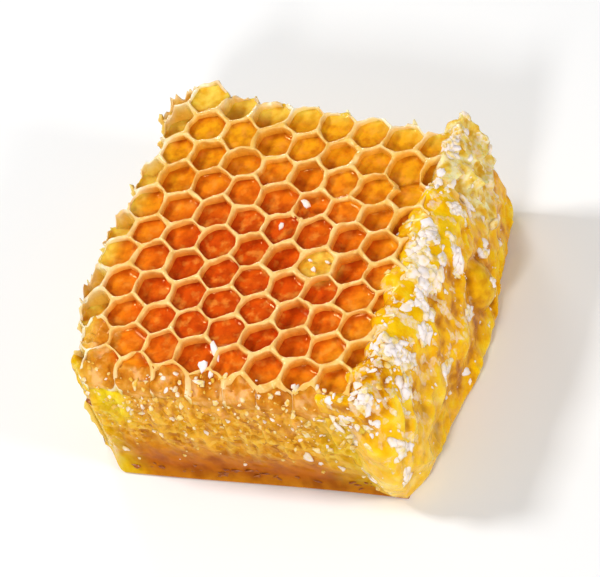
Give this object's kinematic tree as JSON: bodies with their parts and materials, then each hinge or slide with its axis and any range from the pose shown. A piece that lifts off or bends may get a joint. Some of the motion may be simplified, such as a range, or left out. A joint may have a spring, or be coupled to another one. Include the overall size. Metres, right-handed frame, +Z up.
{
  "type": "honeycomb piece",
  "caption": "Rough-cut square piece of beeswax honeycomb lying flat, with open honey-filled hexagonal cells on both faces and a run of honey on one cut side.",
  "frame": {"origin": "middle of the underside's bounding rectangle, on the surface that the piece lies on", "axes": "+Z up, out of the upper cells' mouths; -Y towards the knife-cut front side; +X towards the cut side with the honey run"},
  "size_m": [0.054, 0.0538, 0.022],
  "materials": {
    "wax": "translucent beeswax cell walls with amber honey inside, glossy where wet",
    "honey": "clear golden honey with crushed pale wax, wet and glossy"
  },
  "bodies": {
    "root": {"comb": "wax", "honey_run": "honey"}
  },
  "joints": []
}
